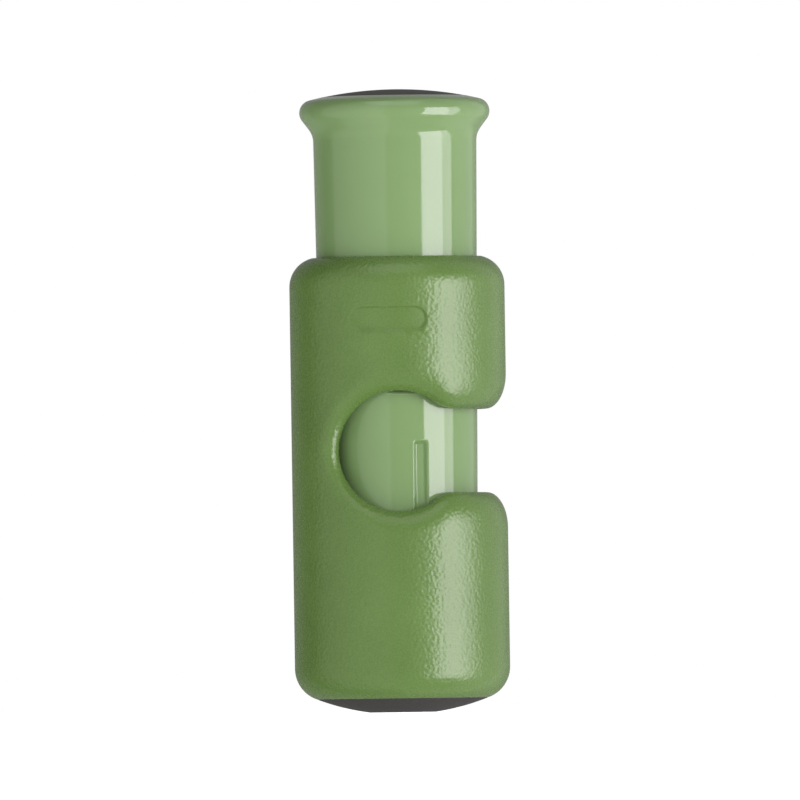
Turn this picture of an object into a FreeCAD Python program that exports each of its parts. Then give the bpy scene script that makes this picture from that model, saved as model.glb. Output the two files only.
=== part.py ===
"""Spring-loaded bag cinch, 88 mm tall and 30 mm across.

A push rod slides in a sleeve that has a keyhole notch through it. The rod has a slot of its own, which
lies above the notch while the rod is up. Pressed down, the slot meets the notch and a bag's neck goes in
from the side; let go, the spring lifts the rod and the bag is held.

Frame: millimetres, +Z up along the rod, +X out of the notch's mouth, -Y the front. The origin is at the
centre of the flat that the cinch stands on.
"""
import FreeCAD, Part
import math
import os
import Sketcher
from FreeCAD import Placement, Rotation, Vector

doc = FreeCAD.newDocument("BagCinch")

# ---------------------------------------------------------------- driving dimensions, in millimetres

SIZES = [
    ("overall_height", 88.0, "floor to the top of the thumb pad, rod up"),
    ("stroke", 14.5, "travel of the rod"),
    # Grip sleeve
    ("sleeve_radius", 15.2, "outside of the grip sleeve"),
    ("sleeve_base", 1.7, "lowest level of the sleeve"),
    ("sleeve_crown", 64.4, "highest level of the sleeve"),
    ("base_round", 4.6, "rounding of the sleeve's lower edge"),
    ("crown_round", 4.2, "rounding of the sleeve's upper edge"),
    ("lip_round", 1.5, "rounding of the notch's outer rim"),
    # Keyhole notch through the sleeve
    ("notch_height", 36.8, "level of the middle of the notch"),
    ("notch_radius", 8.5, "round end of the notch"),
    ("notch_lip", 5.0, "rounding of each lip between round end and mouth"),
    ("mouth_half", 5.9, "half the height of the mouth"),
    # Liner tube
    ("bore_radius", 11.9, "bore of the liner tube"),
    ("liner_radius", 13.2, "outside of the liner tube"),
    ("liner_base", 3.6, "lower end of the liner tube"),
    ("liner_top", 62.4, "upper end of the liner tube"),
    ("liner_cover", 1.2, "thickness of sleeve over the tube's cut edges"),
    # Foot pad and end plug
    ("foot_radius", 12.0, "outside of the foot pad"),
    ("foot_flat", 4.6, "radius of the flat that the cinch stands on"),
    ("foot_edge", 1.9, "level of the foot pad's visible edge"),
    ("foot_dome", 36.0, "radius of the foot pad's dome"),
    ("plug_base", 2.6, "lower face of the end plug"),
    ("plug_seat", 5.0, "seat of the spring on the end plug"),
    ("plug_bead", 0.3, "height of the snap bead round the end plug"),
    ("bead_start", 0.4, "from the tube's end to the bead"),
    ("bead_end", 1.0, "from the tube's end past the bead"),
    ("plug_chamfer", 0.3, "lead-in of the plug's spigot"),
    ("post_radius", 5.9, "post that centres the spring"),
    ("post_top", 10.0, "top of the post"),
    ("post_chamfer", 0.8, "lead-in of the post"),
    ("stud_radius", 2.2, "stud of either pad"),
    ("stud_chamfer", 0.5, "lead-in of either stud"),
    ("foot_stud_top", 8.0, "end of the foot pad's stud"),
    # Plunger
    ("shaft_top_radius", 11.53, "shaft under the flange"),
    ("shaft_end_radius", 10.85, "shaft at its lower end"),
    ("shaft_base", 20.0, "lower end of the shaft, rod up"),
    ("shaft_chamfer", 0.6, "lead-in of the shaft's lower end, inside and outside"),
    ("rim_radius", 1.84, "rounding of the flange's rim"),
    ("rim_centre", 11.6, "radius at which the rim's rounding is centred"),
    ("rim_height", 84.8, "level at which the rim's rounding is centred"),
    ("flare_radius", 3.0, "hollow between the flank and the shaft"),
    ("flank_turn", 37.0, "degrees from upright of the flank under the rim"),
    ("brow_turn", 12.75, "degrees from straight up at which the rim's rounding ends"),
    ("pad_radius", 10.0, "outside of the thumb pad"),
    ("pad_edge", 87.05, "level of the thumb pad's visible edge"),
    ("pad_base", 85.4, "lower face of the thumb pad"),
    ("cap_base", 83.6, "lower face of the thumb cap's disc"),
    ("cap_skirt", 79.6, "lower end of the thumb cap's skirt"),
    ("cap_wall", 1.2, "wall of the thumb cap's skirt"),
    ("cap_chamfer", 0.4, "lead-in of that skirt, across"),
    ("cap_lead", 0.6, "lead-in of that skirt, along the axis"),
    ("thumb_stud_base", 82.4, "end of the thumb pad's stud"),
    ("hollow_radius", 9.3, "hollow in the top of the plunger"),
    ("hollow_base", 62.3, "floor of that hollow"),
    ("hollow_chamfer", 2.0, "slope between its wall and its floor"),
    ("slot_base", 45.5, "lower side of the bag slot, rod up"),
    ("slot_half", 7.25, "half the height of the bag slot"),
    ("slot_round", 0.8, "rounding of the bag slot's rim"),
    ("chamber_radius", 8.2, "spring chamber in the lower end"),
    ("chamber_top", 43.0, "roof of the spring chamber, rod up"),
    ("chamber_chamfer", 1.0, "slope between the chamber's wall and its roof"),
    # Guide grooves and stop pins
    ("groove_width", 1.6, "width of each guide groove"),
    ("groove_floor", 10.35, "radius of the grooves' floors"),
    ("groove_play", 0.1, "room between a pin and either end of its groove"),
    ("groove_turn", 16.0, "degrees from the front to the front groove"),
    ("pin_radius", 0.6, "radius of each stop pin"),
    ("pin_height", 22.4, "level of the stop pins"),
    ("pin_tip", 10.5, "radius that the pins reach in to"),
    # Spring
    ("wire_radius", 0.55, "radius of the spring's wire"),
    ("coil_radius", 6.95, "radius of the coil, to the middle of the wire"),
    ("coil_turns", 8.5, "turns of the spring"),
    ("coil_play", 0.1, "room between the spring and the chamber's roof"),
]

sheet = doc.addObject("Spreadsheet::Sheet", "Sizes")
sheet.Label = "Sizes"
for row, (alias, value, meaning) in enumerate(SIZES, start=1):
    sheet.set(f"A{row}", alias)
    sheet.set(f"B{row}", str(value))
    sheet.set(f"C{row}", meaning)
    sheet.setAlias(f"B{row}", alias)
doc.recompute()

ALIASES = {alias for alias, _, _ in SIZES}
BEYOND = 20.0  # a cutter's reach past the sleeve
GROOVE_REACH = 4.0  # a groove cutter's reach out of the shaft
CLOSE = 0.02  # how near to a radius or a level an edge counts as lying on it


def size(formula):
    """The value of a formula of sheet names, written as it is in an expression but without 'Sizes.'."""
    return float(sheet.evalExpression(named(formula)))


def named(formula):
    """The formula with 'Sizes.' put before each name of the sheet, as an expression needs it."""
    words = "".join(c if c.isalnum() or c == "_" else f" {c} " for c in formula).split()
    return "".join(f"Sizes.{w}" if w in ALIASES else w for w in words)


# ---------------------------------------------------------------- helpers


def new_body(label):
    body = doc.addObject("PartDesign::Body", label)
    body.Label = label
    return body


def new_sketch(body, plane_role, name):
    """An empty sketch on one of the body's own origin planes."""
    plane = next(f for f in body.Origin.OriginFeatures if f.Role == plane_role)
    sketch = body.newObject("Sketcher::SketchObject", name)
    sketch.AttachmentSupport = (plane, [""])
    sketch.MapMode = "FlatFace"
    return sketch


def side_geometry(start, end, radius):
    """A straight side, or the shorter arc between two corners: radius above 0 turns left, below 0 right."""
    if radius == 0:
        return Part.LineSegment(start, end), 1, 2
    chord = end - start
    middle = (start + end) * 0.5
    left = Vector(-chord.y, chord.x, 0).normalize()
    rise = math.sqrt(radius ** 2 - (chord.Length / 2) ** 2)
    centre = middle + left * math.copysign(rise, radius)
    first, last = (start, end) if radius > 0 else (end, start)
    from_angle = math.atan2(first.y - centre.y, first.x - centre.x)
    to_angle = math.atan2(last.y - centre.y, last.x - centre.x)
    circle = Part.Circle(centre, Vector(0, 0, 1), abs(radius))
    arc = Part.ArcOfCircle(circle, from_angle, to_angle)
    return (arc, 1, 2) if radius > 0 else (arc, 2, 1)


def draw_outline(sketch, corners):
    """Draws a closed outline. Each corner is (across, up) or (across, up, radius), formulas of sheet names;
    a radius makes the side that leaves the corner an arc. Every corner and radius is bound to the sheet."""
    values = [[size(f) for f in corner] for corner in corners]
    sides = []
    for i, here in enumerate(values):
        after = values[(i + 1) % len(values)]
        radius = here[2] if len(here) > 2 else 0
        geometry, first, last = side_geometry(Vector(here[0], here[1]), Vector(after[0], after[1]), radius)
        sides.append((sketch.addGeometry(geometry), first, last))
    for i, (side, _, last) in enumerate(sides):
        after, after_first, _ = sides[(i + 1) % len(sides)]
        sketch.addConstraint(Sketcher.Constraint("Coincident", side, last, after, after_first))
    for (side, first, _), corner, value in zip(sides, corners, values):
        for kind, axis, formula, number in (("DistanceX", -2, corner[0], value[0]),
                                            ("DistanceY", -1, corner[1], value[1])):
            if number == 0:
                sketch.addConstraint(Sketcher.Constraint("PointOnObject", side, first, axis))
            else:
                made = sketch.addConstraint(Sketcher.Constraint(kind, -1, 1, side, first, number))
                sketch.setExpression(f"Constraints[{made}]", named(formula))
        if len(corner) > 2:
            made = sketch.addConstraint(Sketcher.Constraint("Radius", side, abs(value[2])))
            sketch.setExpression(f"Constraints[{made}]", named(corner[2].lstrip("-")))


def turned_body(label, corners):
    """A body turned about Z from an outline in the XZ plane."""
    body = new_body(label)
    sketch = new_sketch(body, "XZ_Plane", label + "_profile")
    draw_outline(sketch, corners)
    turn = body.newObject("PartDesign::Revolution", label + "_turned")
    turn.Profile = sketch
    turn.ReferenceAxis = (sketch, ["V_Axis"])
    turn.Angle = 360
    doc.recompute()
    return body


def cut_across(body, name, corners):
    """Cuts an outline in the XZ plane through the whole body, along Y."""
    before = body.Shape.Volume
    sketch = new_sketch(body, "XZ_Plane", name + "_outline")
    draw_outline(sketch, corners)
    cut = body.newObject("PartDesign::Pocket", name)
    cut.Profile = sketch
    cut.SideType = "Symmetric"
    cut.Length = 2 * BEYOND
    doc.recompute()
    assert body.Shape.Volume < before - 1, name + " cut nothing"
    return cut


def round_edges(body, name, formula, wanted):
    """Rounds the edges of the body's tip for which wanted(points along the edge) holds."""
    tip = body.Tip
    picked = []
    for number, edge in enumerate(tip.Shape.Edges, start=1):
        if wanted([edge.valueAt(p) for p in spread(edge.FirstParameter, edge.LastParameter)]):
            picked.append(f"Edge{number}")
    rounding = body.newObject("PartDesign::Fillet", name)
    rounding.Base = (tip, picked)
    rounding.setExpression("Radius", named(formula))
    doc.recompute()
    return rounding


def spread(first, last, count=7):
    """Parameters spread evenly over an edge, both ends included."""
    return [first + (last - first) * i / (count - 1) for i in range(count)]


def off_axis(point):
    return math.hypot(point.x, point.y)


def joined(kind, label, **links):
    """A Part boolean or compound with its own label."""
    made = doc.addObject(kind, label)
    made.Label = label
    for link, value in links.items():
        setattr(made, link, value)
    doc.recompute()
    return made


def arc_height(centre, radius, across):
    """Formula for the level, above or below an arc's centre, at a radius 'across' from the axis."""
    return f"sqrt({radius}^2-({across}-({centre}))^2)"


def keyhole(grow):
    """The notch's outline, made larger all round by the formula 'grow': a round end on the axis, a lip at
    each side, and a mouth that opens to +X. Each lip's arc touches the round end and the mouth's side."""
    end = f"(notch_radius+{grow})"
    lip = f"(notch_lip-{grow})"
    half = f"(mouth_half+{grow})"
    lip_across = f"sqrt(({end}+{lip})^2-({half}+{lip})^2)"
    touch_across = f"{lip_across}*{end}/({end}+{lip})"
    touch_up = f"({half}+{lip})*{end}/({end}+{lip})"
    return [
        (f"{BEYOND}", f"notch_height+{half}"),
        (lip_across, f"notch_height+{half}", lip),
        (touch_across, f"notch_height+{touch_up}", end),
        (f"0-{end}", "notch_height", end),
        (touch_across, f"notch_height-{touch_up}", lip),
        (lip_across, f"notch_height-{half}"),
        (f"{BEYOND}", f"notch_height-{half}"),
    ]


# ---------------------------------------------------------------- stop pins


def make_stop_pins():
    """Two pins across the liner tube, one near the front and one opposite it, flush with its outside."""
    pins = []
    for name, side in (("pin_front", 0), ("pin_back", 180)):
        pin = doc.addObject("Part::Cylinder", name)
        pin.setExpression("Radius", named("pin_radius"))
        pin.setExpression("Height", named("liner_radius-pin_tip"))
        turn = Rotation(Vector(0, 0, 1), side + size("groove_turn"))
        outwards = turn.multVec(Vector(0, -1, 0))
        place = outwards * size("pin_tip") + Vector(0, 0, size("pin_height"))
        pin.Placement = Placement(place, Rotation(Vector(0, 0, 1), outwards))
        pins.append(pin)
    return joined("Part::Compound", "stop_pins", Links=pins)


# ---------------------------------------------------------------- end plug and foot pad


def make_end_plug():
    """Flange under the tube's end, spigot with a snap bead, and a hollow post inside the spring."""
    bead_low = "liner_base+bead_start"
    bead_high = "liner_base+bead_end"
    return turned_body("end_plug", [
        ("stud_radius", "plug_base"),
        ("liner_radius", "plug_base"),
        ("liner_radius", "liner_base"),
        ("bore_radius", "liner_base"),
        ("bore_radius", bead_low),
        ("bore_radius+plug_bead", f"({bead_low}+{bead_high})/2"),
        ("bore_radius", bead_high),
        ("bore_radius", "plug_seat-plug_chamfer"),
        ("bore_radius-plug_chamfer", "plug_seat"),
        ("post_radius", "plug_seat"),
        ("post_radius", "post_top-post_chamfer"),
        ("post_radius-post_chamfer", "post_top"),
        ("stud_radius", "post_top"),
    ])


def make_foot_pad():
    """Shallow dome with a small flat, held by a stud in the plug's post."""
    return turned_body("foot_pad", [
        ("0", "0"),
        ("foot_flat", "0", "foot_dome"),
        ("foot_radius", "foot_edge"),
        ("foot_radius", "plug_base"),
        ("stud_radius", "plug_base"),
        ("stud_radius", "foot_stud_top-stud_chamfer"),
        ("stud_radius-stud_chamfer", "foot_stud_top"),
        ("0", "foot_stud_top"),
    ])


# ---------------------------------------------------------------- liner tube and grip sleeve


def make_liner_blank():
    """Plain tube with the notch cut larger than the sleeve's, so that the sleeve can wrap its edges."""
    body = turned_body("liner_blank", [
        ("bore_radius", "liner_base"),
        ("liner_radius", "liner_base"),
        ("liner_radius", "liner_top"),
        ("bore_radius", "liner_top"),
    ])
    cut_across(body, "liner_notch", keyhole("liner_cover"))
    return body


def make_liner_tube(blank, pins, plug):
    """The tube with its two pin holes and the groove that the plug's bead snaps into."""
    drilled = joined("Part::Cut", "liner_drilled", Base=blank, Tool=pins)
    return joined("Part::Cut", "liner_tube", Base=drilled, Tool=plug)


def make_grip_sleeve(liner_blank, pins):
    """Soft sleeve round the tube and the pins' ends, rounded over at both ends and at the notch's rim."""
    base_centre = "sleeve_radius-base_round"
    crown_centre = "sleeve_radius-crown_round"
    low = f"sleeve_base+base_round-{arc_height(base_centre, 'base_round', 'foot_radius')}"
    high = f"sleeve_crown-crown_round+{arc_height(crown_centre, 'crown_round', 'bore_radius')}"
    body = turned_body("sleeve_blank", [
        ("foot_radius", low, "base_round"),
        ("sleeve_radius", "sleeve_base+base_round"),
        ("sleeve_radius", "sleeve_crown-crown_round", "crown_round"),
        ("bore_radius", high),
        ("bore_radius", "liner_base"),
        ("liner_radius", "liner_base"),
        ("liner_radius", "plug_base"),
        ("foot_radius", "plug_base"),
    ])
    cut_across(body, "sleeve_notch", keyhole("0"))
    outside = size("sleeve_radius")
    reach = size("notch_radius") + size("lip_round")
    middle = size("notch_height")

    def on_rim(points):
        near = all(abs(off_axis(p) - outside) < CLOSE and abs(p.z - middle) < reach for p in points)
        upright = off_axis(points[0] - points[-1]) < CLOSE
        return near and not upright

    round_edges(body, "sleeve_lips", "lip_round", on_rim)
    filled = joined("Part::MultiFuse", "liner_space", Shapes=[liner_blank, pins])
    return joined("Part::Cut", "grip_sleeve", Base=body, Tool=filled)


# ---------------------------------------------------------------- plunger


def make_plunger():
    """Push rod: flange, drafted shaft, hollow top, spring chamber, bag slot and two guide grooves."""
    brow = math.radians(size("brow_turn"))
    brow_across = f"rim_centre+rim_radius*{math.sin(brow):.6f}"
    brow_up = f"rim_height+rim_radius*{math.cos(brow):.6f}"
    flank = math.radians(size("flank_turn"))
    cosine, sine = f"{math.cos(flank):.6f}", f"{math.sin(flank):.6f}"
    flank_top = (f"rim_centre+rim_radius*{cosine}", f"rim_height-rim_radius*{sine}")
    flare_across = f"shaft_top_radius+flare_radius*(1-{cosine})"
    flare_up = f"{flank_top[1]}-({flank_top[0]}-({flare_across}))*{cosine}/{sine}"
    body = turned_body("plunger", [
        ("pad_radius", "pad_edge"),
        ("pad_radius", "cap_base"),
        ("hollow_radius", "cap_base"),
        ("hollow_radius", "hollow_base+hollow_chamfer"),
        ("hollow_radius-hollow_chamfer", "hollow_base"),
        ("0", "hollow_base"),
        ("0", "chamber_top"),
        ("chamber_radius-chamber_chamfer", "chamber_top"),
        ("chamber_radius", "chamber_top-chamber_chamfer"),
        ("chamber_radius", "shaft_base+shaft_chamfer"),
        ("chamber_radius+shaft_chamfer", "shaft_base"),
        ("shaft_end_radius-shaft_chamfer", "shaft_base"),
        ("shaft_end_radius", "shaft_base+shaft_chamfer"),
        ("shaft_top_radius", f"{flare_up}-flare_radius*{sine}", "-flare_radius"),
        (flare_across, flare_up),
        (*flank_top, "rim_radius"),
        ("rim_centre+rim_radius", "rim_height", "rim_radius"),
        (brow_across, brow_up),
    ])
    middle = "slot_base+slot_half"
    cut_across(body, "bag_slot", [
        (f"{BEYOND}", "slot_base+2*slot_half"),
        ("0", "slot_base+2*slot_half", "slot_half"),
        ("0-slot_half", middle, "slot_half"),
        ("0", "slot_base"),
        (f"{BEYOND}", "slot_base"),
    ])
    low, high = size("slot_base") - CLOSE, size("slot_base+2*slot_half") + CLOSE

    def on_slot_rim(points):
        outside = all(off_axis(p) > size("shaft_end_radius") and low < p.z < high for p in points)
        upright = off_axis(points[0] - points[-1]) < size("slot_round") / 2 and points[0].z != points[-1].z
        return outside and not upright

    round_edges(body, "bag_slot_rim", "slot_round", on_slot_rim)
    cut_guide_grooves(body)
    return body


def cut_guide_grooves(body):
    """Two upright grooves on opposite sides of the shaft, closed at both ends."""
    before = body.Shape.Volume
    sketch = new_sketch(body, "XZ_Plane", "guide_groove_outline")
    turn = Rotation(Vector(0, 1, 0), size("groove_turn"))
    sketch.AttachmentOffset = Placement(turn.multVec(Vector(0, 0, size("groove_floor"))), turn)
    low = "pin_height-pin_radius-groove_play"
    high = "pin_height+pin_radius+stroke+groove_play"
    draw_outline(sketch, [
        ("0-groove_width/2", low),
        ("groove_width/2", low),
        ("groove_width/2", high),
        ("0-groove_width/2", high),
    ])
    groove = body.newObject("PartDesign::Pocket", "guide_groove")
    groove.Profile = sketch
    groove.Reversed = True
    groove.Length = GROOVE_REACH
    doc.recompute()
    one = before - body.Shape.Volume
    assert one > 1, "the guide groove cut nothing"
    both = body.newObject("PartDesign::PolarPattern", "guide_grooves")
    both.Originals = [groove]
    both.Axis = (next(f for f in body.Origin.OriginFeatures if f.Role == "Z_Axis"), [""])
    both.Occurrences = 2
    both.Angle = 360
    body.Tip = both
    doc.recompute()
    assert before - body.Shape.Volume > 1.9 * one, "the second guide groove is missing"


def make_thumb_cap():
    """Disc on the flange's shoulder, with a skirt in the plunger's hollow and a hole for the pad's stud."""
    return turned_body("thumb_cap", [
        ("stud_radius", "cap_base"),
        ("hollow_radius-cap_wall", "cap_base"),
        ("hollow_radius-cap_wall", "cap_skirt"),
        ("hollow_radius-cap_chamfer", "cap_skirt"),
        ("hollow_radius", "cap_skirt+cap_lead"),
        ("hollow_radius", "cap_base"),
        ("pad_radius", "cap_base"),
        ("pad_radius", "pad_base"),
        ("stud_radius", "pad_base"),
    ])


def make_thumb_pad():
    """Shallow dome let into the flange, with a stud through the cap. The dome is part of a sphere about Z."""
    rise = "(overall_height-pad_edge)"
    dome = f"(pad_radius^2+{rise}^2)/(2*{rise})"
    return turned_body("thumb_pad", [
        ("0", "thumb_stud_base"),
        ("stud_radius-stud_chamfer", "thumb_stud_base"),
        ("stud_radius", "thumb_stud_base+stud_chamfer"),
        ("stud_radius", "pad_base"),
        ("pad_radius", "pad_base"),
        ("pad_radius", "pad_edge", dome),
        ("0", "overall_height"),
    ])


# ---------------------------------------------------------------- spring


def make_spring():
    """Round wire wound between the plug's seat and the roof of the plunger's chamber."""
    body = new_body("spring")
    sketch = new_sketch(body, "XZ_Plane", "wire_section")
    start = Vector(size("coil_radius"), size("plug_seat+wire_radius"))
    wire = sketch.addGeometry(Part.Circle(start, Vector(0, 0, 1), size("wire_radius")))
    across = sketch.addConstraint(Sketcher.Constraint("DistanceX", -1, 1, wire, 3, start.x))
    up = sketch.addConstraint(Sketcher.Constraint("DistanceY", -1, 1, wire, 3, start.y))
    thick = sketch.addConstraint(Sketcher.Constraint("Radius", wire, size("wire_radius")))
    sketch.setExpression(f"Constraints[{across}]", named("coil_radius"))
    sketch.setExpression(f"Constraints[{up}]", named("plug_seat+wire_radius"))
    sketch.setExpression(f"Constraints[{thick}]", named("wire_radius"))
    coil = body.newObject("PartDesign::AdditiveHelix", "coil")
    coil.Profile = sketch
    coil.ReferenceAxis = (sketch, ["V_Axis"])
    coil.Mode = "height-turns-angle"
    coil.setExpression("Height", named("chamber_top-plug_seat-2*wire_radius-coil_play"))
    coil.setExpression("Turns", named("coil_turns"))
    doc.recompute()
    return body


# ---------------------------------------------------------------- build, check and write

stop_pins = make_stop_pins()
end_plug = make_end_plug()
liner_blank = make_liner_blank()
parts = [
    make_grip_sleeve(liner_blank, stop_pins),
    make_liner_tube(liner_blank, stop_pins, end_plug),
    end_plug,
    make_foot_pad(),
    stop_pins,
    make_plunger(),
    make_thumb_cap(),
    make_thumb_pad(),
    make_spring(),
]
doc.recompute()

for thing in doc.Objects:
    failed = [word for word in thing.State if word in ("Invalid", "Error")]
    assert not failed, f"{thing.Label} is {failed}"

os.makedirs("parts", exist_ok=True)
for part in parts:
    shape = part.Shape
    assert not shape.isNull() and shape.isValid(), part.Label + " has no valid shape"
    shape.exportStep(f"parts/{part.Label}.step")
    box = shape.optimalBoundingBox()
    print(f"{part.Label}: {len(shape.Solids)} solid(s), {shape.Volume:.0f} mm3, "
          f"z {box.ZMin:.2f} to {box.ZMax:.2f}, x {box.XMin:.2f} to {box.XMax:.2f}")
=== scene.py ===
# %% [markdown]
# # A spring-loaded bag cinch
#
# The real object is a hand-sized clip in two greens. A glossy push rod with a flared flange slides in a
# soft, stippled sleeve. A keyhole notch goes through the sleeve from front to back and is open on one
# side, and the neck of a bag is held in it. A dark pad is let into each end.
#
# The engineering model is loaded first and stays fixed: every visible piece is built around it, in the
# same frame, with +Z up along the rod, +X out of the notch's mouth and -Y at the front.

# %% Load the frame
import math

import bmesh
import bpy
import numpy as np
from mathutils import Matrix, Vector


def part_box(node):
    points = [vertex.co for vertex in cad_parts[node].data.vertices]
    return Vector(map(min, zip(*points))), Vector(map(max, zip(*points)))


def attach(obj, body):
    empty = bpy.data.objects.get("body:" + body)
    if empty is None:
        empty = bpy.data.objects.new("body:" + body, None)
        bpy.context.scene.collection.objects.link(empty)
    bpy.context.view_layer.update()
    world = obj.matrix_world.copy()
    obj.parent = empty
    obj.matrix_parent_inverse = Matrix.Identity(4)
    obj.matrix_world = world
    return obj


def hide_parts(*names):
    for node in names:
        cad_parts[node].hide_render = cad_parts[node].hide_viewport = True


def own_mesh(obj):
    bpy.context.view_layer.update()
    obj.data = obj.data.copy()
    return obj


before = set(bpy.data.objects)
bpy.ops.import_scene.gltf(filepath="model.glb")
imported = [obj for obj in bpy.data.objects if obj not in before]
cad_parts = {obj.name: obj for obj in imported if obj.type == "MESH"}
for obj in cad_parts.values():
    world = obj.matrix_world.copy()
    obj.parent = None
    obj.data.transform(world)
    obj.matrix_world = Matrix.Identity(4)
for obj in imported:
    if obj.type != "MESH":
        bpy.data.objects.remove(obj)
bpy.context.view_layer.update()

MM = 0.001  # one millimetre, in metres


def span(node):
    """The lowest and highest corner of a node of the frame, in millimetres."""
    low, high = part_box(node)
    return np.array(low) / MM, np.array(high) / MM


# %% [markdown]
# ## Sizes
#
# Radii and levels are in millimetres. What the frame can say is read from the frame; the rest are the
# roundings and clearances that a mould maker would choose.

# %% Sizes from the frame and from the mould
sleeve_low, sleeve_high = span("grip_sleeve")
liner_high = span("liner_tube")[1]
rod_low = span("plunger")[0]
cap_high = span("thumb_cap")[1]
pad_low, pad_high = span("thumb_pad")
foot_high = span("foot_pad")[1]
spring_low, spring_high = span("spring")

SLEEVE_R = sleeve_high[0]
LINER_R = liner_high[0]
BORE_R = 11.9
BASE_ROUND = 4.6
CROWN_ROUND = 4.2
CROWN_START = 60.2
BASE_START = 6.3
NOTCH_Z = 36.8
NOTCH_R = 8.5
NOTCH_LIP = 5.0
MOUTH_HALF = 5.9
FOOT_SEAT = 2.6  # height of the seat that the foot pad is let into
FOOT_FLAT_R = 4.6  # the flat that the cinch stands on
HAIR = 0.02  # a hair's gap between pieces that touch, so that their surfaces never coincide

# %% [markdown]
# ## From arrays to a mesh
#
# Each piece is one or more grids of points, worked out as whole numpy arrays. A grid is an array of
# rows by columns by three. This helper joins the grids into one mesh: points at the same place become
# one point, faces that shrink to nothing disappear, and the closed shell is turned to face outwards.
# Only creases sharper than a given angle stay sharp.


# %% Grids to a mesh
def grid_quads(rows, columns, first):
    """Corner numbers of the quads between neighbouring rows and columns: each is its own corner, the one
    to its right, the one above that and the one above itself."""
    corner = np.arange(rows * columns).reshape(rows, columns) + first
    quads = np.stack([corner[:-1, :-1], corner[:-1, 1:], corner[1:, 1:], corner[1:, :-1]], axis=-1)
    return quads.reshape(-1, 4)


def mesh_from_grids(name, grids, crease_degrees=38.0):
    """A mesh object, in metres, from grids of points in millimetres."""
    points, quads, count = [], [], 0
    for grid in grids:
        rows, columns, _ = grid.shape
        quads.append(grid_quads(rows, columns, count))
        points.append(grid.reshape(-1, 3))
        count += rows * columns
    points, quads = np.concatenate(points) * MM, np.concatenate(quads)
    mesh = bpy.data.meshes.new(name)
    mesh.vertices.add(len(points))
    mesh.vertices.foreach_set("co", points.astype(np.float32).ravel())
    mesh.loops.add(quads.size)
    mesh.loops.foreach_set("vertex_index", quads.astype(np.int32).ravel())
    mesh.polygons.add(len(quads))
    mesh.polygons.foreach_set("loop_start", np.arange(0, quads.size, 4, dtype=np.int32))
    mesh.update(calc_edges=True)
    shell = bmesh.new()
    shell.from_mesh(mesh)
    bmesh.ops.remove_doubles(shell, verts=shell.verts, dist=0.002 * MM)
    bmesh.ops.dissolve_degenerate(shell, edges=shell.edges, dist=0.0005 * MM)
    bmesh.ops.recalc_face_normals(shell, faces=shell.faces)
    loose = sum(len(edge.link_faces) != 2 for edge in shell.edges)
    if shell.calc_volume(signed=True) < 0:
        bmesh.ops.reverse_faces(shell, faces=shell.faces)
    shell.to_mesh(mesh)
    shell.free()
    mesh.validate()
    mesh.polygons.foreach_set("use_smooth", np.ones(len(mesh.polygons), bool))
    mesh.set_sharp_from_angle(angle=math.radians(crease_degrees))
    piece = bpy.data.objects.new(name, mesh)
    bpy.context.scene.collection.objects.link(piece)
    print(f"{name}: {len(mesh.polygons)} faces, {loose} open or shared edges")
    return piece


# %% [markdown]
# ## Profiles and turned grids
#
# Most of the cinch is turned about its axis, so its shapes start as a profile: the distance from the
# axis and the height of each corner. A corner may be rounded. Turning a profile through a set of angles
# gives a grid. The angles are passed in, so that two grids can share their columns and join exactly.


# %% Profiles
def rounded(corners, steps=8):
    """A profile through corners (radius, height, rounding). A rounded corner becomes an arc that touches
    both of its sides: it starts at rounding / tan(half the angle) from the corner."""
    points = []
    for i, corner in enumerate(corners):
        here = np.array(corner[:2], float)
        rounding = corner[2] if len(corner) > 2 else 0.0
        if rounding == 0.0:
            points.append(here[None])
            continue
        before = np.array(corners[i - 1][:2], float) - here
        after = np.array(corners[i + 1][:2], float) - here
        before, after = before / np.linalg.norm(before), after / np.linalg.norm(after)
        half = math.acos(np.clip(before @ after, -1, 1)) / 2
        middle = (before + after) / np.linalg.norm(before + after)
        centre = here + middle * rounding / math.sin(half)
        start = here + before * rounding / math.tan(half) - centre
        end = here + after * rounding / math.tan(half) - centre
        turn = np.linspace(0, 1, steps + 1)[:, None]
        swept = math.acos(np.clip(start @ end / rounding**2, -1, 1))
        arc = (np.sin((1 - turn) * swept) * start + np.sin(turn * swept) * end) / math.sin(swept)
        points.append(centre + arc)
    return np.concatenate(points)


def arc_profile(centre, radius, from_degrees, to_degrees, steps):
    """Points of a circular arc: the centre plus the radius at evenly spaced angles."""
    turn = np.radians(np.linspace(from_degrees, to_degrees, steps + 1))
    return np.stack([centre[0] + radius * np.cos(turn), centre[1] + radius * np.sin(turn)], axis=1)


def turned(profile, angles):
    """Turns a profile about Z: each point's radius goes round through the angles, its height stays."""
    radius, height = profile[:, 0][:, None], profile[:, 1][:, None]
    across = radius * np.cos(angles)[None]
    along = radius * np.sin(angles)[None]
    return np.stack([across, along, np.broadcast_to(height, across.shape)], axis=-1)


FULL_TURN = np.linspace(-math.pi, math.pi, 241)

# %% [markdown]
# ## The keyhole's outline
#
# Seen from the front, the notch is a round end, a soft lip and a level mouth. Each lip is an arc that
# touches the round end and the mouth, so the line never kinks. Only the upper half is described, by the
# length along it from the leftmost point; the lower half is its mirror image. Besides each point, the
# outline gives the direction into the material, because the lips' roundings are built that way.


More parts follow.
